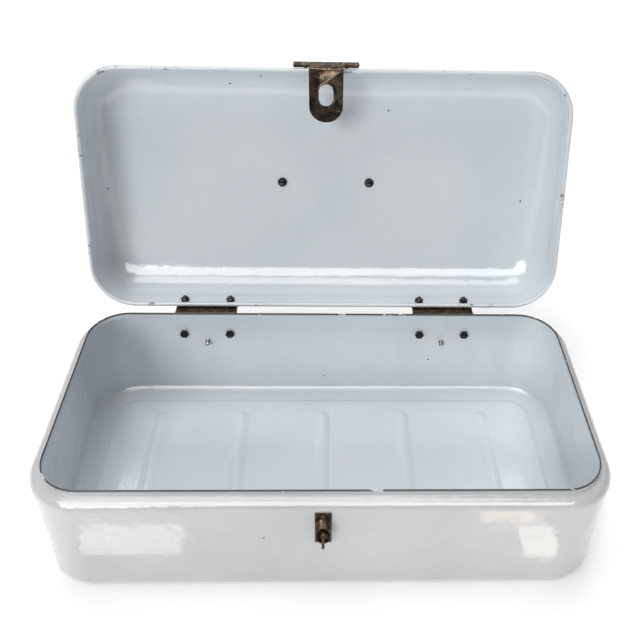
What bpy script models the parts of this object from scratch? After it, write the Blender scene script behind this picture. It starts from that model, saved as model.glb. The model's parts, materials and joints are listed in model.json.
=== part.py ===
"""Enamelled steel bread box with a lid on two butt hinges, a hasp and a turning staple.

The box stands open, as it does while bread is put in. Everything is placed in the tub's frame:
+X along the length, +Y to the hinges at the back, +Z up, with zero on the table under the tub's
middle. Lid pieces are drawn with the lid closed and then carried open by the lid_axis empty.
"""
import math

import bmesh
import bpy
from mathutils import Euler, Matrix, Vector

# ---- driving dimensions, in metres ----
LENGTH = 0.430            # tub over its end walls
WIDTH = 0.218             # tub from front wall to back wall
WALL_TOP = 0.088          # where the walls turn into the shoulder
RIM_TOP = 0.1005          # top edge of the collar
SHEET = 0.001             # enamelled steel sheet
GAP = 0.0003              # clearance between neighbouring pieces
INSET = 0.0001            # keeps joined faces from lying in one plane
CORNER = 0.041            # corner radius of the tub in plan
LID_LENGTH = 0.427
LID_WIDTH = 0.215
LID_CORNER = 0.0395
LID_DEPTH = 0.048
LID_REST = 0.0943         # height of the closed lid's lower edge
OPEN_ANGLE = math.radians(106.7)

# tub
FOOT_RADIUS = 0.0085      # turn between wall and underside
WALL_TAPER = 0.0005
SHOULDER_IN = 0.0088
SHOULDER_UP = 0.0072
COLLAR_IN = 0.0092
FOOT_RING = 0.0205        # width of the flat ring that the box stands on
PANEL_RISE = 0.002        # the floor inside the ring is pressed upwards
RIB_COUNT = 5
RIB_PITCH = 0.0745
RIB_OFFSET = -0.002
RIB_WIDTH = 0.018
RIB_RISE = 0.0024
RIB_LENGTH = 0.144

# lid
BEAD = 0.0019             # radius of the rolled bead round the lid's edge
LID_WALL_TOP = 0.020
LID_TURN_IN = 0.028
HANDLE_SPAN = 0.081
HANDLE_RISE = 0.026
HANDLE_ROD = 0.0035
FOOT_DISC = 0.0085
HANDLE_SCREW = 0.0021
HANDLE_HEAD = 0.0044

# hinges
HINGE_X = 0.1093
HINGE_WIDTH = 0.056
KNUCKLES = 5
KNUCKLE = 0.0031
HINGE_PIN = 0.0015
LEAF = 0.0012
LEAF_BOTTOM = 0.054
HINGE_AXIS = Vector((0.0, WIDTH / 2 + GAP + KNUCKLE, 0.0886))
HINGE_SCREW = 0.0018
SCREW_SPREAD = 0.021
SCREW_Z = 0.0697
LOW_SCREW = 0.0023
LOW_SCREW_Z = 0.061
LID_SCREW_UP = 0.0085     # above the lid's lower edge
NUT = 0.0040
NUT_HEIGHT = 0.0030

# hasp, drawn hanging down over the staple
HASP_KNUCKLE = 0.0024
HASP_PIN = 0.0011
HASP_ROW = 0.055          # length of the whole row of knuckles
HASP_WIDTH = 0.029
HASP_SHEET = 0.0012
HASP_STEP = 0.0066        # from the pin out to the middle of the plate
HASP_REACH = 0.0490       # from the pin down to the plate's end
SLOT_DROP = 0.0241        # from the pin down to the slot's middle
SLOT_WIDTH = 0.0124
SLOT_LENGTH = 0.0206
SLOT_RIM = 0.0021
SLOT_RIM_RISE = 0.0007
HASP_AXIS = Vector((0.0, -LID_WIDTH / 2 - GAP - HASP_KNUCKLE, LID_REST + 0.0026))
HASP_LEAF_TOP = 0.0255    # above the lid's lower edge
RIVET = 0.0015
RIVET_X = 0.0175
RIVET_UP = 0.0155

# turning staple on the front wall
STAPLE_WIDTH = 0.012
STAPLE_LOW = 0.0550
STAPLE_HIGH = 0.0874
STAPLE_SHEET = 0.001
STAPLE_Z = HASP_AXIS.z - SLOT_DROP
BOSS_WIDTH = 0.0114
BOSS_LENGTH = 0.0176
BOSS_TOP = -0.1180        # y of the boss's outer edge
BOSS_WALL = 0.0012
SPINDLE = 0.0016
BLADE_ROOT = -0.1188
BLADE_TIP = -0.1242
BLADE_HEIGHT = 0.0168
BLADE_SHEET = 0.0020
STAPLE_SCREW = 0.0014

ARC = 6                   # segments in a quarter turn of the large corners
ROUND = 12                # sides of a small round piece

COLLECTION = bpy.data.collections.new("bread_box")
FINISHES = {
    "white_enamel": ((0.80, 0.84, 0.87), 0.0, 0.12),
    "dark_patina": ((0.075, 0.055, 0.040), 0.9, 0.42),
    "worn_steel": ((0.16, 0.15, 0.14), 0.9, 0.38),
    "handle_black": ((0.035, 0.032, 0.030), 0.2, 0.35),
}


# ---- helpers ----
def add(name, mesh):
    """A new object of the given mesh in the bread box's collection."""
    piece = bpy.data.objects.new(name, mesh)
    COLLECTION.objects.link(piece)
    return piece


def finish(piece, finish_name):
    """The piece's own Principled material."""
    colour, metallic, roughness = FINISHES[finish_name]
    material = bpy.data.materials.new(piece.name + "_" + finish_name)
    material.use_nodes = True
    shader = material.node_tree.nodes["Principled BSDF"]
    shader.inputs["Base Color"].default_value = (*colour, 1.0)
    shader.inputs["Metallic"].default_value = metallic
    shader.inputs["Roughness"].default_value = roughness
    piece.data.materials.clear()
    piece.data.materials.append(material)
    piece.data.shade_smooth()
    piece.data.set_sharp_from_angle(angle=math.radians(32))
    return piece


def bake(piece):
    """Replace an object by a mesh object of its evaluated, welded shape."""
    graph = bpy.context.evaluated_depsgraph_get()
    mesh = bpy.data.meshes.new_from_object(piece.evaluated_get(graph))
    shape = bmesh.new()
    shape.from_mesh(mesh)
    bmesh.ops.remove_doubles(shape, verts=shape.verts, dist=1e-6)
    shape.transform(piece.matrix_world)
    shape.to_mesh(mesh)
    shape.free()
    name = piece.name
    bpy.data.objects.remove(piece)
    return add(name, mesh)


def combine(piece, other, operation):
    """Boolean of two mesh objects. The second one is used up."""
    step = piece.modifiers.new(operation.lower(), "BOOLEAN")
    step.operation = operation
    step.solver = "EXACT"
    step.object = other
    bpy.context.view_layer.update()
    result = bake(piece)
    bpy.data.objects.remove(other)
    return result


def cut(piece, *cutters):
    for cutter in cutters:
        piece = combine(piece, cutter, "DIFFERENCE")
    return piece


def join(piece, *others):
    for other in others:
        piece = combine(piece, other, "UNION")
    return piece


def box(name, low, high):
    """A block between two corners."""
    low, high = Vector(low), Vector(high)
    shape = bmesh.new()
    size = Matrix.Diagonal((*(high - low), 1.0))
    bmesh.ops.create_cube(shape, size=1.0, matrix=Matrix.Translation((low + high) / 2) @ size)
    mesh = bpy.data.meshes.new(name)
    shape.to_mesh(mesh)
    shape.free()
    return add(name, mesh)


def cylinder(name, radius, start, end, sides=ROUND):
    """A round bar between two points."""
    start, end = Vector(start), Vector(end)
    along = end - start
    place = Matrix.Translation((start + end) / 2) @ along.to_track_quat("Z", "Y").to_matrix().to_4x4()
    shape = bmesh.new()
    bmesh.ops.create_cone(shape, cap_ends=True, segments=sides, radius1=radius, radius2=radius,
                          depth=along.length, matrix=place)
    mesh = bpy.data.meshes.new(name)
    shape.to_mesh(mesh)
    shape.free()
    return add(name, mesh)


def turned(name, profile, place, sides=ROUND):
    """A turned piece from (radius, height) pairs, top to bottom, set at a matrix."""
    mesh = bpy.data.meshes.new(name)
    points = [(radius, 0.0, height) for radius, height in profile]
    mesh.from_pydata(points, [(i, i + 1) for i in range(len(points) - 1)], [])
    piece = add(name, mesh)
    screw = piece.modifiers.new("turn", "SCREW")
    screw.axis = "Z"
    screw.steps = screw.render_steps = sides
    screw.use_merge_vertices = True
    screw.merge_threshold = 1e-5
    piece.matrix_world = place
    bpy.context.view_layer.update()
    return bake(piece)


def plate(name, outlines, thickness, place):
    """A flat plate from closed 2D outlines, with inner outlines as holes, set at a matrix."""
    curve = bpy.data.curves.new(name, "CURVE")
    curve.dimensions = "2D"
    curve.fill_mode = "BOTH"
    curve.extrude = thickness / 2
    for outline in outlines:
        spline = curve.splines.new("POLY")
        spline.points.add(len(outline) - 1)
        for point, (u, v) in zip(spline.points, outline):
            point.co = (u, v, 0.0, 1.0)
        spline.use_cyclic_u = True
    piece = add(name, curve)
    piece.matrix_world = place
    bpy.context.view_layer.update()
    return bake(piece)


def rod(name, points, radius, cyclic=False, resolution=2):
    """A round rod along a list of points."""
    curve = bpy.data.curves.new(name, "CURVE")
    curve.dimensions = "3D"
    curve.bevel_depth = radius
    curve.bevel_resolution = resolution
    curve.use_fill_caps = not cyclic
    spline = curve.splines.new("POLY")
    spline.points.add(len(points) - 1)
    for point, place in zip(spline.points, points):
        point.co = (*place, 1.0)
    spline.use_cyclic_u = cyclic
    piece = add(name, curve)
    bpy.context.view_layer.update()
    return bake(piece)


def across(x):
    """Matrix that sets a plate's u, v on world Y, Z, with the plate's middle at x."""
    return Matrix.Translation((x, 0, 0)) @ Euler((math.pi / 2, 0, math.pi / 2)).to_matrix().to_4x4()


def upright(y):
    """Matrix that sets a plate's u, v on world X, Z, with the plate's middle at y."""
    return Matrix.Translation((0, y, 0)) @ Euler((math.pi / 2, 0, 0)).to_matrix().to_4x4()


def strip(line, thickness):
    """Closed outline of a bent strip of even thickness along an open line of 2D points."""
    line = [Vector(point) for point in line]
    left, right = [], []
    for i, point in enumerate(line):
        before = (point - line[i - 1]).normalized() if i else (line[1] - point).normalized()
        after = (line[i + 1] - point).normalized() if i + 1 < len(line) else before
        tangent = (before + after).normalized()
        normal = Vector((-tangent.y, tangent.x))
        reach = thickness / 2 / max(normal.dot(Vector((-before.y, before.x))), 0.3)
        left.append(tuple(point + normal * reach))
        right.append(tuple(point - normal * reach))
    return left + right[::-1]


def stadium(width, length, centre=(0.0, 0.0), steps=5):
    """Outline with straight sides and round ends, longest along v."""
    radius = width / 2
    straight = length / 2 - radius
    outline = []
    for end in (1, -1):
        for i in range(steps + 1):
            angle = math.pi * i / steps + (0 if end > 0 else math.pi)
            outline.append((centre[0] + radius * math.cos(angle),
                            centre[1] + end * straight + radius * math.sin(angle)))
    return outline


def rounded_rectangle(length, width, radius, height):
    """Points of a level rounded rectangle."""
    ring = []
    for quarter, (sx, sy) in enumerate(((1, 1), (-1, 1), (-1, -1), (1, -1))):
        centre = Vector((sx * (length / 2 - radius), sy * (width / 2 - radius), height))
        for i in range(ARC + 1):
            angle = math.pi / 2 * (quarter + i / ARC)
            ring.append(centre + radius * Vector((math.cos(angle), math.sin(angle), 0)))
    return ring


def loft(name, rings, close_end):
    """Skin over level rings of equal point counts, with the first ring filled."""
    shape = bmesh.new()
    rows = [[shape.verts.new(point) for point in ring] for ring in rings]
    for low, high in zip(rows, rows[1:]):
        for i in range(len(low)):
            j = (i + 1) % len(low)
            shape.faces.new((low[i], low[j], high[j], high[i]))
    shape.faces.new(rows[0][::-1])
    if close_end:
        shape.faces.new(rows[-1])
    mesh = bpy.data.meshes.new(name)
    shape.to_mesh(mesh)
    shape.free()
    return add(name, mesh)


def pressed_pan(name, length, width, corner, profile, least_corner):
    """Thin skin through level rounded rectangles, one for each (inset, height) step."""
    rings = [rounded_rectangle(length - 2 * inset, width - 2 * inset,
                               max(corner - inset, least_corner), height)
             for inset, height in profile]
    return loft(name, rings, close_end=False)


def thicken(piece):
    """Give a skin the thickness of the sheet, inwards from the drawn side."""
    solid = piece.modifiers.new("sheet", "SOLIDIFY")
    solid.thickness = SHEET
    solid.offset = -1.0
    solid.use_even_offset = True
    bpy.context.view_layer.update()
    return bake(piece)


def hexagon(name, radius, hole, place, height):
    """Hexagon nut with a plain bore. The matrix puts its middle and sets its axis on local Z."""
    corners = [(radius * math.cos(math.tau * i / 6), radius * math.sin(math.tau * i / 6))
               for i in range(6)]
    bore = [(hole * math.cos(math.tau * i / ROUND), hole * math.sin(math.tau * i / ROUND))
            for i in range(ROUND)]
    return plate(name, [corners, bore], height, place)


def facing(direction, at):
    """Matrix at a point whose Z looks along a direction."""
    turn = Vector(direction).to_track_quat("Z", "Y").to_matrix().to_4x4()
    return Matrix.Translation(at) @ turn


def slotted_screw(name, at, direction, head, head_height, shank, length):
    """Domed slotted screw. The head's seat is at the point and the shank runs along direction."""
    profile = [(0, head_height), (head * 0.6, head_height * 0.9), (head, head_height * 0.35),
               (head, 0), (shank, 0), (shank, -length + shank * 0.4), (shank * 0.6, -length),
               (0, -length)]
    place = facing(-Vector(direction), at)
    screw = turned(name, profile, place)
    blade = box(name + "_slot", (-head, -head * 0.11, head_height * 0.55),
                (head, head * 0.11, head_height * 2))
    blade.data.transform(place)
    return cut(screw, blade)


# ---- tub ----
def tub_profile():
    """(inset, height) steps over the tub's outer face, from the raised floor to the collar."""
    inner_ring = WALL_TAPER + FOOT_RADIUS * 0.15 + FOOT_RING
    steps = [(inner_ring + 0.0022, PANEL_RISE), (inner_ring + 0.0006, PANEL_RISE * 0.75),
             (inner_ring - 0.0006, PANEL_RISE * 0.2), (inner_ring - 0.0018, 0.0)]
    for i in range(5):
        angle = math.pi / 2 * i / 4
        steps.append((WALL_TAPER + FOOT_RADIUS * (1 - math.sin(angle)),
                      FOOT_RADIUS * (1 - math.cos(angle))))
    for i in range(6):
        angle = math.pi / 2 * i / 5
        steps.append((SHOULDER_IN * (1 - math.cos(angle)), WALL_TOP + SHOULDER_UP * math.sin(angle)))
    steps[-1] = (SHOULDER_IN - 0.0008, WALL_TOP + SHOULDER_UP - 0.0001)
    steps += [(COLLAR_IN, WALL_TOP + SHOULDER_UP + 0.0009), (COLLAR_IN, RIM_TOP)]
    return steps


def rib(name, x, width, rise, base, sink):
    """Loaf-shaped block of one pressed rib, from sink below the base to its crest."""
    radius = (width ** 2 / 4 + rise ** 2) / (2 * rise)
    rings = []
    for level in (-sink, 0.0, rise * 0.35, rise * 0.7, rise * 0.93):
        half = math.sqrt(radius ** 2 - (radius - rise + max(level, 0.0)) ** 2)
        outline = stadium(2 * half, RIB_LENGTH - width + 2 * half)
        rings.append([Vector((x + u, v, base + level)) for u, v in outline])
    return loft(name, rings, close_end=True)


def hinge_sides():
    return (("left", -HINGE_X), ("right", HINGE_X))


def wall_hole(name, radius, x, z, side):
    """Cutter through the front (-1) or back (+1) wall of the tub or lid."""
    return cylinder(name, radius, (x, side * 0.095, z), (x, side * 0.116, z))


def make_tub():
    tub = pressed_pan("base_tub", LENGTH, WIDTH, CORNER, tub_profile(), 0.012)
    tub = thicken(tub)
    floor = PANEL_RISE + SHEET
    for k in range(RIB_COUNT):
        x = RIB_OFFSET + (k - (RIB_COUNT - 1) / 2) * RIB_PITCH
        tub = join(tub, rib("rib", x, RIB_WIDTH, RIB_RISE, floor, SHEET / 2))
        tub = cut(tub, rib("groove", x, RIB_WIDTH - 1.6 * SHEET, RIB_RISE, PANEL_RISE, 2 * SHEET))
    for _, x in hinge_sides():
        for shift in (-SCREW_SPREAD, SCREW_SPREAD):
            tub = cut(tub, wall_hole("hole", HINGE_SCREW + GAP, x + shift, SCREW_Z, 1))
        tub = cut(tub, wall_hole("hole", LOW_SCREW + GAP, x, LOW_SCREW_Z, 1))
    for z in staple_screw_heights():
        tub = cut(tub, wall_hole("hole", STAPLE_SCREW + GAP, 0, z, -1))
    tub = cut(tub, wall_hole("hole", SPINDLE + GAP, 0, STAPLE_Z, -1))
    return [finish(tub, "white_enamel")]


# ---- lid ----
def lid_profile():
    """(inset, height above the lid's lower edge) over the outer face, crown first."""
    turn_up = LID_DEPTH - 0.0008 - LID_WALL_TOP
    steps = [(0.075, LID_DEPTH), (0.052, LID_DEPTH - 0.0003)]
    for i in range(8):
        angle = math.pi / 2 * (1 - i / 7)
        steps.append((0.0026 + LID_TURN_IN * (1 - math.cos(angle)),
                      LID_WALL_TOP + turn_up * math.sin(angle)))
    steps += [(0.0014, 0.006), (BEAD * 0.65, BEAD)]
    return steps


def make_lid():
    profile = [(inset, LID_REST + height) for inset, height in lid_profile()]
    lid = pressed_pan("lid_shell", LID_LENGTH, LID_WIDTH, LID_CORNER, profile, 0.011)
    lid.data.flip_normals()
    lid = thicken(lid)
    path = rounded_rectangle(LID_LENGTH - 2 * BEAD, LID_WIDTH - 2 * BEAD, LID_CORNER - BEAD,
                             LID_REST + BEAD)
    lid = join(lid, rod("bead", path, BEAD, cyclic=True))
    for _, x in hinge_sides():
        for shift in (-SCREW_SPREAD, SCREW_SPREAD):
            lid = cut(lid, wall_hole("hole", HINGE_SCREW + GAP, x + shift, LID_REST + LID_SCREW_UP, 1))
    for x in (-RIVET_X, RIVET_X):
        lid = cut(lid, wall_hole("hole", RIVET + GAP, x, LID_REST + RIVET_UP, -1))
    top = LID_REST + LID_DEPTH
    for x in (-HANDLE_SPAN / 2, HANDLE_SPAN / 2):
        lid = cut(lid, cylinder("hole", HANDLE_SCREW + GAP, (x, 0, top - 0.01), (x, 0, top + 0.01)))
    return [finish(lid, "white_enamel")]


def make_handle():
    """Bow handle on two round feet, held by two screws from inside the lid."""
    base = LID_REST + LID_DEPTH + GAP
    half = HANDLE_SPAN / 2
    bend = 0.013
    high = base + HANDLE_RISE
    points = [(-half, 0, base + 0.002)]
    for side in (-1, 1):
        for i in range(7):
            angle = math.pi / 2 * (i / 6 if side < 0 else 1 - i / 6)
            points.append((side * (half - bend + bend * math.cos(angle)), 0,
                           high - bend + bend * math.sin(angle)))
    points.append((half, 0, base + 0.002))
    handle = rod("lid_handle", points, HANDLE_ROD)
    pieces = []
    for side, x in (("left", -half), ("right", half)):
        foot = turned("foot", [(0, 0.0045), (HANDLE_ROD * 1.3, 0.0045), (FOOT_DISC, 0.0018),
                               (FOOT_DISC, 0), (0, 0)], Matrix.Translation((x, 0, base)))
        handle = join(handle, foot)
        bore = cylinder("bore", HANDLE_SCREW + GAP, (x, 0, base - 0.001), (x, 0, base + 0.010))
        handle = cut(handle, bore)
        seat = base - GAP - SHEET - GAP
        screw = slotted_screw("handle_screw_" + side, (x, 0, seat), (0, 0, 1), HANDLE_HEAD, 0.0022,
                              HANDLE_SCREW, 0.0100)
        pieces.append(finish(screw, "worn_steel"))
    return [finish(handle, "handle_black")] + pieces


# ---- hinges ----
def knuckle_ends(k):
    """Where one knuckle starts and stops along the hinge."""
    step = HINGE_WIDTH / KNUCKLES
    return -HINGE_WIDTH / 2 + k * step + GAP / 2, -HINGE_WIDTH / 2 + (k + 1) * step - GAP / 2


def hinge_leaf(name, x, line, own):
    """Leaf bent along a line of (y, z) points, with its own knuckles round the hinge axis."""
    leaf = plate(name, [strip(line, LEAF)], HINGE_WIDTH, across(x))
    reach = HINGE_WIDTH / 2 - INSET
    ends = [Vector((x + side * reach, *HINGE_AXIS.yz)) for side in (-1, 1)]
    leaf = join(leaf, cylinder("barrel", KNUCKLE, *ends))
    for k in range(KNUCKLES):
        if k in own:
            continue
        low, high = knuckle_ends(k)
        low = x + low - GAP - (0.001 if k == 0 else 0)
        high = x + high + GAP + (0.001 if k == KNUCKLES - 1 else 0)
        leaf = cut(leaf, cylinder("clear", KNUCKLE + GAP, (low, *HINGE_AXIS.yz),
                                  (high, *HINGE_AXIS.yz)))
    past = Vector((0.002, 0, 0))
    return cut(leaf, cylinder("bore", HINGE_PIN + GAP, ends[0] - past, ends[1] + past))


def base_leaf_line():
    y = WIDTH / 2 + GAP + INSET + LEAF / 2
    return [(y, LEAF_BOTTOM), (y, HINGE_AXIS.z)]


def lid_leaf_line():
    """From the hinge axis up round the bead and along the closed lid's back wall."""
    bead_y = LID_WIDTH / 2 + GAP + LEAF / 2
    return [(HINGE_AXIS.y - 0.0012, HINGE_AXIS.z + 0.0012),
            (HINGE_AXIS.y - 0.0025, HINGE_AXIS.z + 0.0035),
            (bead_y + 0.0004, LID_REST + BEAD),
            (bead_y - 0.0012, LID_REST + 0.0140)]


def nut_and_screw(name, at, into, wall, shank, head, tail):
    """Screw from outside and hexagon nut inside. at is on the head's seat, wall is the depth of
    the nut's seat below it, and tail is what stands out of the nut."""
    into = Vector(into)
    screw = slotted_screw(name + "_screw", at, into, head, 0.0020, shank, wall + GAP + NUT_HEIGHT + tail)
    middle = Vector(at) + into * (wall + GAP + NUT_HEIGHT / 2)
    nut = hexagon(name + "_nut", NUT, shank + GAP, facing(into, middle), NUT_HEIGHT)
    return [finish(screw, "worn_steel"), finish(nut, "worn_steel")]


def make_hinges():
    fixed, on_lid = [], []
    into = Vector((0, -1, 0))
    for side, x in hinge_sides():
        base_leaf = hinge_leaf("hinge_base_leaf_" + side, x, base_leaf_line(), (0, 2, 4))
        lid_leaf = hinge_leaf("hinge_lid_leaf_" + side, x, lid_leaf_line(), (1, 3))
        outer = WIDTH / 2 + GAP + LEAF + GAP
        for tag, shift in (("outer", -1 if x < 0 else 1), ("inner", 1 if x < 0 else -1)):
            place = x + shift * SCREW_SPREAD
            base_leaf = cut(base_leaf, wall_hole("hole", HINGE_SCREW + GAP, place, SCREW_Z, 1))
            lid_leaf = cut(lid_leaf, wall_hole("hole", HINGE_SCREW + GAP, place,
                                               LID_REST + LID_SCREW_UP, 1))
            depth = 2 * GAP + LEAF + SHEET
            fixed += nut_and_screw(f"base_hinge_{side}_{tag}", (place, outer, SCREW_Z), into,
                                   depth, HINGE_SCREW, 0.0036, 0.0014)
            lid_seat = LID_WIDTH / 2 + 0.0019
            lid_depth = lid_seat - (LID_WIDTH / 2 - 0.0017 - SHEET)
            on_lid += nut_and_screw(f"lid_hinge_{side}_{tag}",
                                    (place, lid_seat, LID_REST + LID_SCREW_UP), into, lid_depth,
                                    HINGE_SCREW, 0.0036, 0.0020)
        base_leaf = cut(base_leaf, wall_hole("hole", LOW_SCREW + GAP, x, LOW_SCREW_Z, 1))
        low_screw = slotted_screw(f"base_hinge_{side}_low_screw", (x, outer, LOW_SCREW_Z), into,
                                  0.0038, 0.0020, LOW_SCREW, 0.0092)
        reach = HINGE_WIDTH / 2 + 0.0006
        pin = cylinder("hinge_pin_" + side, HINGE_PIN, (x - reach, *HINGE_AXIS.yz),
                       (x + reach, *HINGE_AXIS.yz))
        fixed += [finish(base_leaf, "dark_patina"), finish(low_screw, "worn_steel"),
                  finish(pin, "worn_steel")]
        on_lid.append(finish(lid_leaf, "dark_patina"))
    return fixed, on_lid


# ---- hasp ----
def make_hasp_leaf():
    """Fixed leaf on the lid's front wall, with a knuckle at each end."""
    bead_y = -HASP_AXIS.y - HASP_KNUCKLE + HASP_SHEET / 2 + INSET
    line = [(-bead_y, HASP_AXIS.z), (-bead_y + 0.0002, HASP_AXIS.z + 0.003),
            (-bead_y + 0.0016, LID_REST + HASP_LEAF_TOP)]
    leaf = plate("hasp_leaf", [strip(line, HASP_SHEET)], HASP_ROW, across(0))
    half = HASP_ROW / 2 - INSET
    leaf = join(leaf, cylinder("barrel", HASP_KNUCKLE, (-half, *HASP_AXIS.yz), (half, *HASP_AXIS.yz)))
    reach = HASP_WIDTH / 2 + GAP
    leaf = cut(leaf, cylinder("clear", HASP_KNUCKLE + GAP, (-reach, *HASP_AXIS.yz),
                              (reach, *HASP_AXIS.yz)))
    leaf = cut(leaf, cylinder("bore", HASP_PIN + GAP, (-half - 0.002, *HASP_AXIS.yz),
                              (half + 0.002, *HASP_AXIS.yz)))
    pieces = []
    for side, x in (("left", -RIVET_X), ("right", RIVET_X)):
        leaf = cut(leaf, wall_hole("hole", RIVET + GAP, x, LID_REST + RIVET_UP, -1))
        seat = -LID_WIDTH / 2 - 0.0010
        inside = 0.0046
        head = 0.0029
        profile = [(0, 0.0013), (head * 0.7, 0.0010), (head, 0.0), (RIVET, 0.0), (RIVET, -inside),
                   (head * 0.8, -inside), (head * 0.5, -inside - 0.0010), (0, -inside - 0.0010)]
        rivet = turned("hasp_rivet_" + side, profile, facing((0, -1, 0), (x, seat, LID_REST + RIVET_UP)))
        pieces.append(finish(rivet, "dark_patina"))
    return [finish(leaf, "dark_patina")] + pieces


def make_hasp_pin():
    reach = HASP_ROW / 2 + 0.0004
    pin = cylinder("hasp_pin", HASP_PIN, (-reach, *HASP_AXIS.yz), (reach, *HASP_AXIS.yz))
    return [finish(pin, "dark_patina")]


def make_hasp_strap():
    """Swinging strap: knuckle, a step out over the bead, and a slotted plate with a round end."""
    y, z = HASP_AXIS.yz
    half = HASP_WIDTH / 2
    spare = 0.002
    line = [(y, z + 0.0018), (y - 0.0040, z + 0.0008), (y - 0.0058, z - 0.0002),
            (y - HASP_STEP, z - 0.0018), (y - HASP_STEP, z - HASP_REACH - spare)]
    strap = plate("hasp_strap", [strip(line, HASP_SHEET)], HASP_WIDTH + spare, across(0))
    strap = join(strap, cylinder("barrel", HASP_KNUCKLE, (-half - spare, y, z), (half + spare, y, z)))
    rim = stadium(SLOT_WIDTH + 2 * SLOT_RIM, SLOT_LENGTH + 2 * SLOT_RIM, (0.0, z - SLOT_DROP))
    rim_y = y - HASP_STEP - (HASP_SHEET + SLOT_RIM_RISE) / 2
    strap = join(strap, plate("rim", [rim], SLOT_RIM_RISE, upright(rim_y + 0.0001)))
    outline = [(half, z + 0.01), (-half, z + 0.01)]
    for i in range(15):
        angle = math.pi * (1 + i / 14)
        outline.append((half * math.cos(angle), z - HASP_REACH + half * (1 + math.sin(angle))))
    strap = combine(strap, plate("outline", [outline], 0.04, upright(y)), "INTERSECT")
    slot = stadium(SLOT_WIDTH, SLOT_LENGTH, (0.0, z - SLOT_DROP))
    strap = cut(strap, plate("slot", [slot], 0.01, upright(y - HASP_STEP)))
    strap = cut(strap, cylinder("bore", HASP_PIN + GAP, (-half - spare, y, z), (half + spare, y, z)))
    return [finish(strap, "dark_patina")]


# ---- turning staple ----
def staple_screw_heights():
    return (STAPLE_LOW + 0.0040, STAPLE_HIGH - 0.0030)


def make_staple():
    back = -WIDTH / 2 - GAP
    front = back - STAPLE_SHEET
    half = STAPLE_WIDTH / 2
    outline = [(-half, STAPLE_LOW), (half, STAPLE_LOW), (half, STAPLE_HIGH), (-half, STAPLE_HIGH)]
    base = plate("staple_plate", [outline], STAPLE_SHEET, upright((back + front) / 2))
    middle = (0.0, STAPLE_Z)
    boss = plate("boss", [stadium(BOSS_WIDTH, BOSS_LENGTH, middle)], front - BOSS_TOP + 0.0004,
                 upright((front + BOSS_TOP) / 2 + 0.0002))
    pocket_floor = front - 0.0025
    pocket = plate("pocket", [stadium(BOSS_WIDTH - 2 * BOSS_WALL, BOSS_LENGTH - 2 * BOSS_WALL, middle)],
                   0.012, upright(pocket_floor - 0.006))
    base = cut(join(base, boss), pocket)
    base = cut(base, cylinder("bore", SPINDLE + GAP, (0, back + 0.002, STAPLE_Z),
                              (0, pocket_floor - 0.002, STAPLE_Z)))
    pieces = []
    for tag, z in zip(("low", "high"), staple_screw_heights()):
        base = cut(base, wall_hole("hole", STAPLE_SCREW + GAP, 0, z, -1))
        seat = (0, front - GAP, z)
        depth = 2 * GAP + STAPLE_SHEET + SHEET + 0.0003
        screw = slotted_screw(f"staple_screw_{tag}", seat, (0, 1, 0), 0.0023, 0.0014, STAPLE_SCREW,
                              depth + 0.0034)
        nut_at = Vector(seat) + Vector((0, depth + GAP + 0.0009, 0))
        nut = hexagon(f"staple_nut_{tag}", 0.0030, STAPLE_SCREW + GAP, facing((0, 1, 0), nut_at), 0.0018)
        pieces += [finish(screw, "dark_patina"), finish(nut, "worn_steel")]
    return [finish(base, "dark_patina")] + pieces


def make_turn_staple():
    """Spindle through the boss, peened inside the tub, with a flat blade to turn it by."""
    inside = -WIDTH / 2 + SHEET + 0.0005 + GAP
    place = facing((0, -1, 0), (0, inside + 0.001, STAPLE_Z))
    reach = inside + 0.001 - BLADE_ROOT + 0.0008
    profile = [(0, reach), (SPINDLE, reach), (SPINDLE, 0.001), (0.003, 0.001), (0.003, 0), (0, 0)]
    staple = turned("turn_staple", profile, place)
    high = BLADE_HEIGHT / 2
    bend = 0.0026
    outline = [(BLADE_ROOT, STAPLE_Z - high + 0.001), (BLADE_ROOT, STAPLE_Z + high - 0.001)]
    for side in (1, -1):
        for i in range(5):
            angle = math.pi / 2 * (i / 4 if side > 0 else 1 - i / 4)
            outline.append((BLADE_TIP + bend * (1 - math.sin(angle)),
                            STAPLE_Z + side * (high - bend + bend * math.cos(angle))))
    blade = plate("blade", [outline], BLADE_SHEET, across(0))
    return [finish(join(staple, blade), "dark_patina")]


# ---- assembly ----
def axis_empty(name, at, parent=None):
    empty = bpy.data.objects.new(name, None)
    empty.empty_display_size = 0.02
    COLLECTION.objects.link(empty)
    empty.location = at
    if parent:
        bpy.context.view_layer.update()
        empty.parent = parent
        empty.matrix_parent_inverse = parent.matrix_world.inverted()
    bpy.context.view_layer.update()
    return empty


def attach(pieces, empty):
    for piece in pieces:
        piece.parent = empty
        piece.matrix_parent_inverse = empty.matrix_world.inverted()


def stand_on_origin(root):
    """Shift everything so that the open box's footprint is centred on the frame's origin."""
    bpy.context.view_layer.update()
    corners = [piece.matrix_world @ vertex.co for piece in COLLECTION.objects if piece.type == "MESH"
               for vertex in piece.data.vertices]
    middle = (min(point.y for point in corners) + max(point.y for point in corners)) / 2
    root.location.y -= middle
    bpy.context.view_layer.update()


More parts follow.
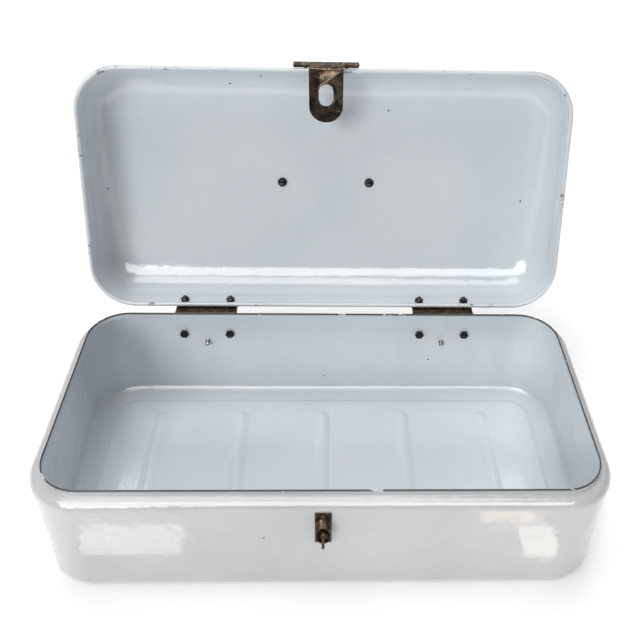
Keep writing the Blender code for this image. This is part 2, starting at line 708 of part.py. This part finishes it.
def main():
    for old in list(bpy.data.objects):
        bpy.data.objects.remove(old)
    bpy.context.scene.collection.children.link(COLLECTION)

    root = axis_empty("bread_box_origin", (0, 0, 0))
    lid_axis = axis_empty("lid_axis", HINGE_AXIS, root)
    pin_axis = axis_empty("hasp_pin_axis", HASP_AXIS, lid_axis)
    hasp_axis = axis_empty("hasp_axis", HASP_AXIS, pin_axis)
    staple_axis = axis_empty("turn_staple_axis", (0, BOSS_TOP, STAPLE_Z), root)

    fixed, on_lid = make_hinges()
    attach(make_tub() + fixed + make_staple(), root)
    attach(make_lid() + make_handle() + make_hasp_leaf() + on_lid, lid_axis)
    attach(make_hasp_pin(), pin_axis)
    attach(make_hasp_strap(), hasp_axis)
    attach(make_turn_staple(), staple_axis)

    lid_axis.rotation_euler.x = -OPEN_ANGLE
    pin_axis.rotation_euler.x = OPEN_ANGLE
    stand_on_origin(root)


main()
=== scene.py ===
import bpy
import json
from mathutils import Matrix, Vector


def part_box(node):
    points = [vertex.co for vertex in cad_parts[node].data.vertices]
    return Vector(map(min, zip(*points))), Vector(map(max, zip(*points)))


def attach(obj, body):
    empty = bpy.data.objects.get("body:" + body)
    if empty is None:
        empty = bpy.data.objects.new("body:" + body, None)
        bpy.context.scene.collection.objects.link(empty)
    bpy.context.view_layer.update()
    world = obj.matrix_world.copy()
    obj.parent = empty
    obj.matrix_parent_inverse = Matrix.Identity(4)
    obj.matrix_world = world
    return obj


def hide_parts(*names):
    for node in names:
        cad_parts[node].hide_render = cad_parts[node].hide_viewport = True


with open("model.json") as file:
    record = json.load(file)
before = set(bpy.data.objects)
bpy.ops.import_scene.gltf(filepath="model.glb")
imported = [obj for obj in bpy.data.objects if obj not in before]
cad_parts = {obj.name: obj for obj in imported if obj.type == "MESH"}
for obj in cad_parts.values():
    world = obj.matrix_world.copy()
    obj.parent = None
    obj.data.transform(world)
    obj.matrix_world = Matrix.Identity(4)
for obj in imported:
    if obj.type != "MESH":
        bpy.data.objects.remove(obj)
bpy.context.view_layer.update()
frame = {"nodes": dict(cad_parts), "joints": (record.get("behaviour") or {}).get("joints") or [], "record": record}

# Looks of the enamelled bread box. Metres, in the CAD's frame: +X to the box's right, +Y to the
# hinges at the back, +Z up. The lid's pan is drawn closed and carried open by OPENED. The hardware
# is copied from the CAD nodes where they stand. Tub and lid are drawn without holes for it.
import json
import math

import bmesh
import bpy
from mathutils import Matrix, Vector

# ---- sizes from the frame ----
NODES = frame["nodes"]
JOINTS = {joint["name"]: joint for joint in frame["joints"]}
TUB_LOW, TUB_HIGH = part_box("base_tub")
LENGTH = TUB_HIGH.x - TUB_LOW.x
WIDTH = TUB_HIGH.y - TUB_LOW.y
MIDDLE_Y = (TUB_LOW.y + TUB_HIGH.y) / 2
RIM_TOP = TUB_HIGH.z
HINGE = Vector(JOINTS["lid_hinge"]["pos_m"])
OPEN_ANGLE = math.radians(JOINTS["lid_hinge"]["range_deg"][1])
OPENED = (Matrix.Translation(HINGE) @ Matrix.Rotation(-OPEN_ANGLE, 4, "X")
          @ Matrix.Translation(-HINGE))

# ---- sizes of the pressings ----
SHEET = 0.001
CORNER = 0.041            # corner radius of the tub in plan
LEAST_CORNER = 0.012      # least corner radius of the rings inside it
WALL_TAPER = 0.0005
WALL_TOP = 0.088
SHOULDER_IN = 0.0088
SHOULDER_UP = 0.0072
COLLAR_IN = 0.0092
COLLAR_END = 0.0016       # from the rim's top down to the collar's plain faces
RIM_BAND = 0.002          # height of the worn band under the rim's top
FLOOR_STEP = 0.0022       # between the floor's rings
FOOT_RADIUS = 0.0085
PANEL_IN = 0.0223         # from the wall in to the edge of the raised floor panel
PANEL_LIP = 0.0022        # from the panel's edge in to where it is flat
PANEL_SLOPE = 0.0064      # width of the slope round the panel
PANEL_RISE = 0.002
RIB_COUNT = 5
RIB_PITCH = 0.0745
RIB_OFFSET = -0.002
RIB_WIDTH = 0.014         # drawn narrower than the solid's ribs
RIB_LENGTH = 0.144
RIB_RISE = 0.0024
LID_LENGTH = 0.427
LID_WIDTH = 0.215
LID_CORNER = 0.0395
LID_REST = 0.0943         # height of the closed lid's lower edge
LID_DEPTH = 0.048
LID_WALL_TOP = 0.020
LID_TURN_IN = 0.028
LID_WALL_IN = 0.0026      # from the lid's edge in to the top of its wall
LID_LEAN = 0.0012         # how far the wall leans out towards the bead
LID_WALL_FOOT = 0.0058
LID_CROWN = 0.0006
LID_CROWN_IN = 0.09
LID_STEP = 0.0035
BEAD = 0.0019
BEAD_START = 62           # degrees round the bead from its outer side
BEAD_SWEEP = 304
BEAD_STEPS = 26

SMOOTH_ANGLE = math.radians(38)
BEVEL_ANGLE = math.radians(48)
BEVEL = 0.0002
FLAT_ANGLE = math.radians(1)
WELD = 1e-6

# ---- stage and camera ----
FLOOR_HALF = 6.0
FLOOR_WHITE = 0.97
FLOOR_GLOW = 0.12
SENSOR = 36.0
LENS = 45.16
SHIFT = (-0.0528, -0.0470)
YAW, PITCH, ROLL = (math.radians(angle) for angle in (-2.39, -37.03, 1.77))
EYE = (0.00175, MIDDLE_Y - 0.4667, 0.5547)
FAR_CLIP = 50.0


# ---- mesh helpers ----
def piece(name, shape, material, body, slot, *replaced, place=None):
    """Turn a bmesh into a finished piece that rides on a body and stands for CAD nodes."""
    bmesh.ops.recalc_face_normals(shape, faces=shape.faces)
    mesh = bpy.data.meshes.new(name)
    shape.to_mesh(mesh)
    shape.free()
    if place is not None:
        mesh.transform(place)
    mesh.materials.append(material)
    mesh.shade_smooth()
    mesh.set_sharp_from_angle(angle=SMOOTH_ANGLE)
    made = bpy.data.objects.new(name, mesh)
    bpy.context.scene.collection.objects.link(made)
    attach(made, body)
    if replaced:
        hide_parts(*replaced)
    return made


def smoothstep(low, high, value):
    share = min(max((value - low) / (high - low), 0.0), 1.0)
    return share * share * (3 - 2 * share)


def spaced(low, high, step):
    """Evenly spaced values from low to high, no further apart than step."""
    count = max(1, math.ceil(abs(high - low) / step))
    return [low + (high - low) * i / count for i in range(count + 1)]


def arc(centre, radii, start, stop, steps):
    """Points on an ellipse's arc, with angles in degrees from the first axis."""
    angles = [math.radians(start + (stop - start) * i / steps) for i in range(steps + 1)]
    return [(centre[0] + radii[0] * math.cos(a), centre[1] + radii[1] * math.sin(a))
            for a in angles]


def offset_line(line, distance):
    """Open 2D line moved sideways to its left by a distance."""
    moved = []
    for i, point in enumerate(line):
        before, after = line[max(i - 1, 0)], line[min(i + 1, len(line) - 1)]
        along = Vector((after[0] - before[0], after[1] - before[1])).normalized()
        moved.append((point[0] - along.y * distance, point[1] + along.x * distance))
    return moved


def rounded_ring(length, width, corner, inset, step=0.0016, turns=14):
    """(x, y) points of a rounded rectangle moved in by an inset. The count doesn't depend on it."""
    half_x, half_y = length / 2 - inset, width / 2 - inset
    radius = min(max(corner - inset, LEAST_CORNER), half_x, half_y)
    along_x = max(1, round((length - 2 * corner) / step))
    along_y = max(1, round((width - 2 * corner) / step))
    points = []
    for quarter in range(4):
        sx, sy = ((1, 1), (-1, 1), (-1, -1), (1, -1))[quarter]
        centre = Vector((sx * (half_x - radius), sy * (half_y - radius)))
        for i in range(turns):
            angle = math.pi / 2 * (quarter + i / turns)
            points.append(centre + radius * Vector((math.cos(angle), math.sin(angle))))
        start_angle = math.pi / 2 * (quarter + 1)
        start = centre + radius * Vector((math.cos(start_angle), math.sin(start_angle)))
        count = along_x if quarter % 2 == 0 else along_y
        run = Vector((-2 * sx * (half_x - radius), 0)) if quarter % 2 == 0 \
            else Vector((0, -2 * sy * (half_y - radius)))
        points += [start + run * (i / count) for i in range(count)]
    return points


def pan(size, corner, section, lift=None):
    """Closed pressed-sheet shape. The section runs from the middle of the inside, over the edge,
    to the middle of the outside as (inset, height, edge share, inside share)."""
    shape = bmesh.new()
    edge = shape.verts.layers.float.new("edge")
    # The "inner" share picks the enamel's painted-light inside tone over its painted-shade outside tone.
    inner = shape.verts.layers.float.new("inner")
    rows = []
    for inset, height, edge_share, inner_share in section:
        row = []
        for x, y in rounded_ring(*size, corner, inset):
            z = height + (lift(x, y, inset) if lift else 0.0)
            vertex = shape.verts.new((x, y, z))
            vertex[edge], vertex[inner] = edge_share, inner_share
            row.append(vertex)
        rows.append(row)
    for low, high in zip(rows, rows[1:]):
        for i in range(len(low)):
            j = (i + 1) % len(low)
            shape.faces.new((low[i], low[j], high[j], high[i]))
    bmesh.ops.remove_doubles(shape, verts=rows[0] + rows[-1], dist=WELD)
    return shape


# ---- materials ----
class Nodes:
    """A material's node tree with short calls for the nodes used here."""

    def __init__(self, name):
        self.material = bpy.data.materials.new(name)
        self.material.use_nodes = True
        self.tree = self.material.node_tree
        self.shader = self.tree.nodes["Principled BSDF"]
        self.place = self.add("ShaderNodeTexCoord").outputs["Object"]

    def add(self, kind, **settings):
        node = self.tree.nodes.new(kind)
        for key, value in settings.items():
            setattr(node, key, value)
        return node

    def join(self, value, socket):
        if isinstance(value, bpy.types.NodeSocket):
            self.tree.links.new(value, socket)
        else:
            socket.default_value = value

    def noise(self, scale, detail, roughness=0.5, stretch=None):
        node = self.add("ShaderNodeTexNoise")
        node.inputs["Scale"].default_value = scale
        node.inputs["Detail"].default_value = detail
        node.inputs["Roughness"].default_value = roughness
        if stretch:
            mapping = self.add("ShaderNodeMapping")
            mapping.inputs["Scale"].default_value = stretch
            self.join(self.place, mapping.inputs["Vector"])
            self.join(mapping.outputs["Vector"], node.inputs["Vector"])
        else:
            self.join(self.place, node.inputs["Vector"])
        return node.outputs["Fac"]

    def math(self, operation, first, second):
        node = self.add("ShaderNodeMath", operation=operation)
        self.join(first, node.inputs[0])
        self.join(second, node.inputs[1])
        return node.outputs[0]

    def ramp(self, value, low, high, out_low=0.0, out_high=1.0):
        node = self.add("ShaderNodeMapRange", interpolation_type="SMOOTHSTEP")
        self.join(value, node.inputs["Value"])
        for socket, number in zip(("From Min", "From Max", "To Min", "To Max"),
                                  (low, high, out_low, out_high)):
            self.join(number, node.inputs[socket])
        return node.outputs["Result"]

    def mix(self, share, first, second):
        node = self.add("ShaderNodeMix", data_type="RGBA")
        self.join(share, node.inputs[0])
        self.join(first, node.inputs[6])
        self.join(second, node.inputs[7])
        return node.outputs[2]

    def attribute(self, name):
        return self.add("ShaderNodeAttribute", attribute_name=name).outputs["Fac"]

    def cells(self, scale):
        node = self.add("ShaderNodeTexVoronoi")
        node.inputs["Scale"].default_value = scale
        self.join(self.place, node.inputs["Vector"])
        return node.outputs["Distance"], node.outputs["Color"]

    def red(self, colour):
        split = self.add("ShaderNodeSeparateColor")
        self.join(colour, split.inputs[0])
        return split.outputs[0]

    def bump(self, height, strength, distance, normal=None):
        node = self.add("ShaderNodeBump")
        node.inputs["Strength"].default_value = strength
        node.inputs["Distance"].default_value = distance
        self.join(height, node.inputs["Height"])
        if normal is not None:
            self.join(normal, node.inputs["Normal"])
        return node.outputs["Normal"]


def enamel(name, edge_wear):
    """Glossy white vitreous enamel: orange peel, faint clouding, pinholes and chipped edges."""
    m = Nodes(name)
    cloud = m.noise(9.0, 3.0)
    # Painted shade and light: the outside white is drawn darker and the inside white lighter and bluer.
    white = m.mix(m.ramp(cloud, 0.3, 0.7), (0.52, 0.522, 0.528, 1), (0.59, 0.59, 0.592, 1))
    inside = m.mix(m.ramp(cloud, 0.3, 0.7), (0.685, 0.725, 0.755, 1), (0.745, 0.775, 0.80, 1))
    ground = m.mix(m.attribute("inner"), white, inside)

    ragged = m.math("ADD", m.noise(150.0, 4.0, 0.65), m.math("MULTIPLY", m.noise(24.0, 1.0), 0.7))
    chipped = m.math("MULTIPLY", m.attribute("edge"), m.ramp(ragged, edge_wear, edge_wear + 0.06))
    distance, tint = m.cells(70.0)
    chosen = m.ramp(m.red(tint), 0.958, 0.960)
    pinhole = m.math("MULTIPLY", m.ramp(distance, 0.085, 0.060), chosen)
    bare = m.math("MAXIMUM", chipped, pinhole)
    colour = m.mix(bare, ground, (0.018, 0.016, 0.015, 1))
    m.join(colour, m.shader.inputs["Base Color"])

    roughness = m.ramp(m.noise(30.0, 3.0), 0.3, 0.7, 0.07, 0.14)
    worn = m.add("ShaderNodeMix", data_type="FLOAT")
    m.join(bare, worn.inputs[0])
    m.join(roughness, worn.inputs[2])
    m.join(0.75, worn.inputs[3])
    m.join(worn.outputs[0], m.shader.inputs["Roughness"])

    peel = m.math("ADD", m.noise(75.0, 2.0), m.math("MULTIPLY", m.noise(260.0, 1.0), 0.25))
    wavy = m.bump(peel, 0.65, 0.0012)
    sunk = m.bump(m.math("MULTIPLY", bare, -1.0), 0.6, 0.0004, wavy)
    m.join(sunk, m.shader.inputs["Normal"])
    m.shader.inputs["IOR"].default_value = 1.52
    m.shader.inputs["Coat Weight"].default_value = 0.6
    m.shader.inputs["Coat Roughness"].default_value = 0.05
    return m.material


def patina(name, dark, warm, bright, metallic=0.85):
    """Old plated steel gone brown: blotches, rubbed bright spots and fine scratches."""
    m = Nodes(name)
    blotch = m.ramp(m.noise(190.0, 5.0, 0.65), 0.36, 0.66)
    ground = m.mix(blotch, (*dark, 1), (*warm, 1))
    scratch = m.ramp(m.noise(700.0, 2.0, 0.5, stretch=(1.0, 1.0, 0.12)), 0.62, 0.75)
    spots = m.ramp(m.noise(320.0, 3.0, 0.6), 0.64, 0.72)
    shine = m.math("MAXIMUM", m.math("MULTIPLY", scratch, 0.3), m.math("MULTIPLY", spots, 0.5))
    m.join(m.mix(shine, ground, (*bright, 1)), m.shader.inputs["Base Color"])
    m.join(m.ramp(m.noise(120.0, 4.0), 0.3, 0.7, 0.22, 0.46), m.shader.inputs["Roughness"])
    m.shader.inputs["Metallic"].default_value = metallic
    m.join(m.bump(m.noise(420.0, 4.0, 0.6), 0.35, 0.0003), m.shader.inputs["Normal"])
    return m.material


def black_lacquer(name):
    m = Nodes(name)
    worn = m.ramp(m.noise(160.0, 5.0, 0.65), 0.60, 0.70)
    colour = m.mix(worn, (0.022, 0.020, 0.019, 1), (0.10, 0.085, 0.07, 1))
    m.join(colour, m.shader.inputs["Base Color"])
    m.join(m.ramp(m.noise(90.0, 3.0), 0.3, 0.7, 0.28, 0.48), m.shader.inputs["Roughness"])
    m.join(m.bump(m.noise(380.0, 3.0), 0.25, 0.0003), m.shader.inputs["Normal"])
    return m.material


TUB_ENAMEL = enamel("tub_enamel", 0.62)
LID_ENAMEL = enamel("lid_enamel", 0.99)
BROWN = patina("brown_patina", (0.022, 0.016, 0.012), (0.085, 0.056, 0.034), (0.36, 0.29, 0.21))
BLACKENED = patina("blackened_steel", (0.010, 0.009, 0.008), (0.040, 0.034, 0.028),
                   (0.22, 0.20, 0.17), 0.6)
STEEL = patina("worn_steel", (0.20, 0.195, 0.19), (0.48, 0.47, 0.46), (0.80, 0.79, 0.77))
LACQUER = black_lacquer("handle_lacquer")


# ---- tub ----
def rib_lift(x, y, inset):
    """Height of the floor's pressed ribs at a point."""
    if inset < PANEL_IN:
        return 0.0
    lift = 0.0
    for k in range(RIB_COUNT):
        middle = RIB_OFFSET + (k - (RIB_COUNT - 1) / 2) * RIB_PITCH
        beyond = max(abs(y) - (RIB_LENGTH - RIB_WIDTH) / 2, 0.0)
        away = min(math.hypot(x - middle, beyond) / (RIB_WIDTH / 2), 1.0)
        lift = max(lift, RIB_RISE * math.cos(math.pi / 2 * away) ** 1.1)
    return lift


def tub_outside():
    """(inset, height) over the tub's outer face, from the underside's middle to the rim."""
    line = [(inset, PANEL_RISE)
            for inset in spaced(WIDTH / 2, PANEL_IN + PANEL_LIP + 0.0002, FLOOR_STEP)]
    for i in range(1, 9):
        share = i / 8
        line.append((PANEL_IN + PANEL_LIP - PANEL_SLOPE * share,
                     PANEL_RISE * (1 - smoothstep(0, 1, share))))
    line += arc((WALL_TAPER + FOOT_RADIUS, FOOT_RADIUS), (FOOT_RADIUS, FOOT_RADIUS), 270, 180, 12)
    line += [(WALL_TAPER * (1 - share), FOOT_RADIUS + (WALL_TOP - FOOT_RADIUS) * share)
             for share in spaced(0.04, 0.97, 0.07)]
    line += arc((SHOULDER_IN - 0.0006, WALL_TOP), (SHOULDER_IN - 0.0006, SHOULDER_UP), 180, 94, 14)
    foot = WALL_TOP + SHOULDER_UP
    line += [(COLLAR_IN - 0.0001, foot + 0.0004), (COLLAR_IN, foot + 0.0012),
             (COLLAR_IN, foot + 0.0030)]
    return line


def make_tub():
    outside = tub_outside()
    inside = offset_line(outside, -SHEET)
    flat = sum(1 for inset, _ in outside if inset > PANEL_IN + PANEL_LIP)
    inside = [(inset, height + SHEET) for inset, height in outside[:flat]] + inside[flat:]
    rim_centre = COLLAR_IN + SHEET / 2
    rim = arc((rim_centre, RIM_TOP - SHEET / 2), (SHEET / 2, SHEET / 2), 0, 180, 8)
    inside += [(COLLAR_IN + SHEET, RIM_TOP - COLLAR_END)]
    outside += [(COLLAR_IN, RIM_TOP - COLLAR_END)]
    band = RIM_TOP - RIM_BAND
    section = [(inset, height, 0.7 * (height > band), 1.0) for inset, height in inside]
    section += [(inset, height, 1.0, 0.5) for inset, height in rim]
    section += [(inset, height, 0.5 * (height > band), 0.0) for inset, height in outside[::-1]]
    place = Matrix.Translation((0, MIDDLE_Y, 0))
    shape = pan((LENGTH, WIDTH), CORNER, section, rib_lift)
    piece("tub", shape, TUB_ENAMEL, "tub", "white_enamel", "base_tub", place=place)


# ---- lid ----
def lid_outside():
    """(inset, height above the lid's edge) from the crown's middle down to the bead."""
    rise = LID_DEPTH - LID_CROWN - LID_WALL_TOP
    centre = LID_WALL_IN + LID_TURN_IN
    line = [(inset, LID_DEPTH - LID_CROWN * (1 - smoothstep(centre, LID_CROWN_IN, inset)))
            for inset in spaced(LID_WIDTH / 2, centre, LID_STEP)]
    line += arc((centre, LID_WALL_TOP), (LID_TURN_IN, rise), 90, 180, 26)[1:]
    line += [(LID_WALL_IN - LID_LEAN * share,
              LID_WALL_TOP - (LID_WALL_TOP - LID_WALL_FOOT) * share)
             for share in spaced(0.1, 1.0, 0.15)]
    return line


def make_lid():
    outside = lid_outside()
    inside = offset_line(outside, SHEET)
    inside[0] = (outside[0][0], outside[0][1] - SHEET)
    bead = arc((BEAD, BEAD), (BEAD, BEAD), BEAD_START, BEAD_START - BEAD_SWEEP, BEAD_STEPS)
    bead_wear = []
    for i in range(BEAD_STEPS + 1):
        below = -math.sin(math.radians(BEAD_START - BEAD_SWEEP * i / BEAD_STEPS))
        bead_wear.append(smoothstep(0.0, 0.5, below) * 0.5 + 0.5 * smoothstep(14, 4, i))
    section = [(inset, height, 0.0, 1.0) for inset, height in inside]
    section += [(inset, height, wear, 1.0 - i / BEAD_STEPS)
                for i, ((inset, height), wear) in enumerate(zip(bead, bead_wear))]
    section += [(inset, height, 0.0, 0.0) for inset, height in outside[::-1]]
    shape = pan((LID_LENGTH, LID_WIDTH), LID_CORNER, section)
    place = OPENED @ Matrix.Translation((0, MIDDLE_Y, LID_REST))
    piece("lid", shape, LID_ENAMEL, "lid", "white_enamel", "lid_shell", place=place)


# ---- hardware that keeps its CAD shape, with softened edges ----
def refined(name, material, body, slot):
    """Copy of a CAD node with its sharp edges rounded."""
    shape = bmesh.new()
    shape.from_mesh(NODES[name].data)
    bmesh.ops.remove_doubles(shape, verts=shape.verts, dist=WELD)
    bmesh.ops.dissolve_limit(shape, angle_limit=FLAT_ANGLE, verts=shape.verts, edges=shape.edges)
    sharp = [edge for edge in shape.edges
             if len(edge.link_faces) == 2 and edge.calc_face_angle() > BEVEL_ANGLE]
    bmesh.ops.bevel(shape, geom=sharp, offset=BEVEL, segments=2, affect="EDGES",
                    clamp_overlap=True)
    return piece(name + "_shown", shape, material, body, slot, name)


def make_hardware():
    bodies = frame["record"]["behaviour"]["bodies"]
    slots = {part["node"]: part["material_slot"] for part in frame["record"]["subparts"]}
    finishes = {"dark_patina": BROWN, "worn_steel": BLACKENED, "handle_black": LACQUER}
    for body, names in bodies.items():
        for name in names:
            if slots[name] in finishes:
                material = STEEL if "low_screw" in name else finishes[slots[name]]
                refined(name, material, body, slots[name])


# ---- stage ----
def studio_light(name, place, target, size, power, colour):
    """Area light that only gloss sees."""
    data = bpy.data.lights.new(name, "AREA")
    data.shape = "RECTANGLE"
    data.size, data.size_y = size
    data.energy = power
    data.color = colour
    lamp = bpy.data.objects.new(name, data)
    lamp.location = place
    lamp.rotation_euler = (Vector(target) - Vector(place)).to_track_quat("-Z", "Y").to_euler()
    lamp.visible_camera = lamp.visible_diffuse = False
    bpy.context.scene.collection.objects.link(lamp)


def make_stage():
    shape = bmesh.new()
    bmesh.ops.create_grid(shape, x_segments=1, y_segments=1, size=FLOOR_HALF)
    mesh = bpy.data.meshes.new("floor")
    shape.to_mesh(mesh)
    shape.free()
    m = Nodes("floor_white")
    m.shader.inputs["Base Color"].default_value = (FLOOR_WHITE, FLOOR_WHITE, FLOOR_WHITE, 1)
    m.shader.inputs["Roughness"].default_value = 0.9
    m.shader.inputs["Emission Color"].default_value = (1, 1, 1, 1)
    m.shader.inputs["Emission Strength"].default_value = FLOOR_GLOW
    mesh.materials.append(m.material)
    floor = bpy.data.objects.new("floor", mesh)
    bpy.context.scene.collection.objects.link(floor)

    make_sky()
    for name, energy, width, travel in (("sky_light", 1.5, 45, (0.12, 0, -1)),
                                        ("back_light", 1.2, 55, (0, -0.7, -0.7)),
                                        ("front_light", 1.3, 28, (0.42, 0.80, -0.42))):
        sun = bpy.data.lights.new(name, "SUN")
        sun.energy = energy
        sun.angle = math.radians(width)
        sun.color = (0.985, 0.995, 1.0)
        lamp = bpy.data.objects.new(name, sun)
        lamp.rotation_euler = Vector(travel).to_track_quat("-Z", "Y").to_euler()
        bpy.context.scene.collection.objects.link(lamp)
    studio_light("gloss_softbox", (-0.15, MIDDLE_Y - 0.8, 1.05), (0, MIDDLE_Y, 0.1),
                 (1.9, 0.75), 22, (0.97, 0.99, 1.0))
    make_glints()


def make_glints():
    """Bright and warm patches low in the front wall's gloss."""
    front = TUB_LOW.y
    patches = (("glint_left", -0.155, 0.038, (0.085, 0.028), 0.011, (0.95, 1.0, 1.0)),
               ("glint_right", 0.155, 0.075, (0.050, 0.045), 0.014, (1.0, 0.72, 0.48)),
               ("glint_low", 0.175, 0.034, (0.030, 0.030), 0.006, (1.0, 0.93, 0.80)))
    for name, x, ahead, size, power, colour in patches:
        studio_light(name, (x, front - ahead, 0.003), (x, front - ahead, 1.0), size, power,
                     colour)


def make_sky():
    """Soft surround, brighter on the box's left, and plain white where it is seen directly."""
    world = bpy.data.worlds.new("studio")
    bpy.context.scene.world = world
    world.use_nodes = True
    tree = world.node_tree
    place = tree.nodes.new("ShaderNodeTexCoord")
    split = tree.nodes.new("ShaderNodeSeparateXYZ")
    fade = tree.nodes.new("ShaderNodeMapRange")
    fade.interpolation_type = "SMOOTHSTEP"
    for socket, number in zip(("From Min", "From Max", "To Min", "To Max"),
                              (-1.0, 0.9, 0.24, 0.08)):
        fade.inputs[socket].default_value = number
    ray = tree.nodes.new("ShaderNodeLightPath")
    strength = tree.nodes.new("ShaderNodeMath")
    strength.operation = "MAXIMUM"
    background = tree.nodes["Background"]
    background.inputs["Color"].default_value = (0.94, 0.97, 1.0, 1)
    tree.links.new(place.outputs["Generated"], split.inputs[0])
    tree.links.new(split.outputs["X"], fade.inputs["Value"])
    tree.links.new(fade.outputs["Result"], strength.inputs[0])
    tree.links.new(ray.outputs["Is Camera Ray"], strength.inputs[1])
    tree.links.new(strength.outputs[0], background.inputs["Strength"])


def make_camera():
    """Camera at the fitted view, for a 640 x 640 frame."""
    data = bpy.data.cameras.new("camera")
    data.sensor_width = SENSOR
    data.lens = LENS
    data.shift_x, data.shift_y = SHIFT
    data.clip_end = FAR_CLIP
    camera = bpy.data.objects.new("camera", data)
    forward = Vector((math.sin(-YAW) * math.cos(PITCH), math.cos(YAW) * math.cos(PITCH),
                      math.sin(PITCH)))
    right = forward.cross(Vector((0, 0, 1))).normalized()
    up = right.cross(forward)
    rolled_right = right * math.cos(ROLL) + up * math.sin(ROLL)
    rolled_up = -right * math.sin(ROLL) + up * math.cos(ROLL)
    turn = Matrix((rolled_right, rolled_up, -forward)).transposed().to_4x4()
    camera.matrix_world = Matrix.Translation(EYE) @ turn
    bpy.context.scene.collection.objects.link(camera)
    bpy.context.scene.camera = camera


make_tub()
make_lid()
make_hardware()
make_stage()
make_camera()
bpy.context.scene.view_settings.view_transform = "Standard"
